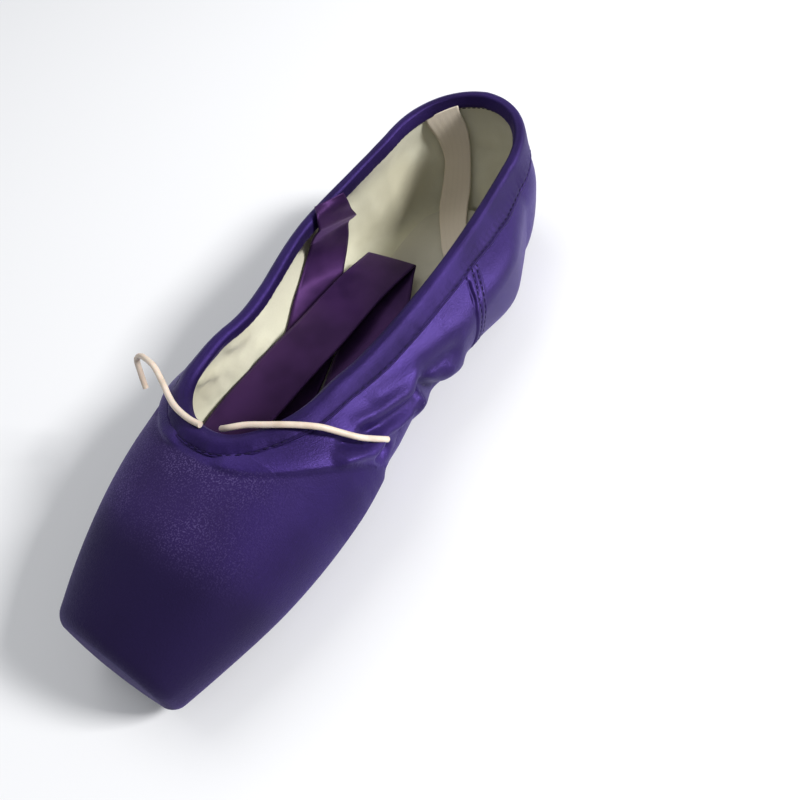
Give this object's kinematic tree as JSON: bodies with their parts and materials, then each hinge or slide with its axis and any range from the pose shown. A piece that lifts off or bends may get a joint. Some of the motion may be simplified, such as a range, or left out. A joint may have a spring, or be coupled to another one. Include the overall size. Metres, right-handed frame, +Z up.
{
  "type": "pointe shoe",
  "caption": "Satin ballet pointe shoe with a stiff box, narrow leather sole, drawstring collar, ribbons and heel elastic.",
  "frame": {"origin": "on the floor, under the middle of the shoe's length and width", "axes": "+Z up from the floor, -Y towards the toe, +X towards the shoe's outer side in the picture"},
  "size_m": [0.0846, 0.2344, 0.0538],
  "materials": {
    "satin": "violet satin, soft sheen",
    "sole_leather": "buffed natural leather",
    "sock_cotton": "cream cotton",
    "casing_satin": "violet satin binding",
    "plum_ribbon": "plum satin ribbon",
    "skin_elastic": "skin-coloured woven elastic",
    "cord": "cream waxed cord"
  },
  "bodies": {
    "root": {"upper": "satin", "outsole": "sole_leather", "insole": "sock_cotton", "drawstring_casing": "casing_satin", "ribbon_left": "plum_ribbon", "ribbon_right": "plum_ribbon", "heel_elastic": "skin_elastic", "drawstring_left_end": "cord", "drawstring_right_end": "cord"}
  },
  "joints": []
}
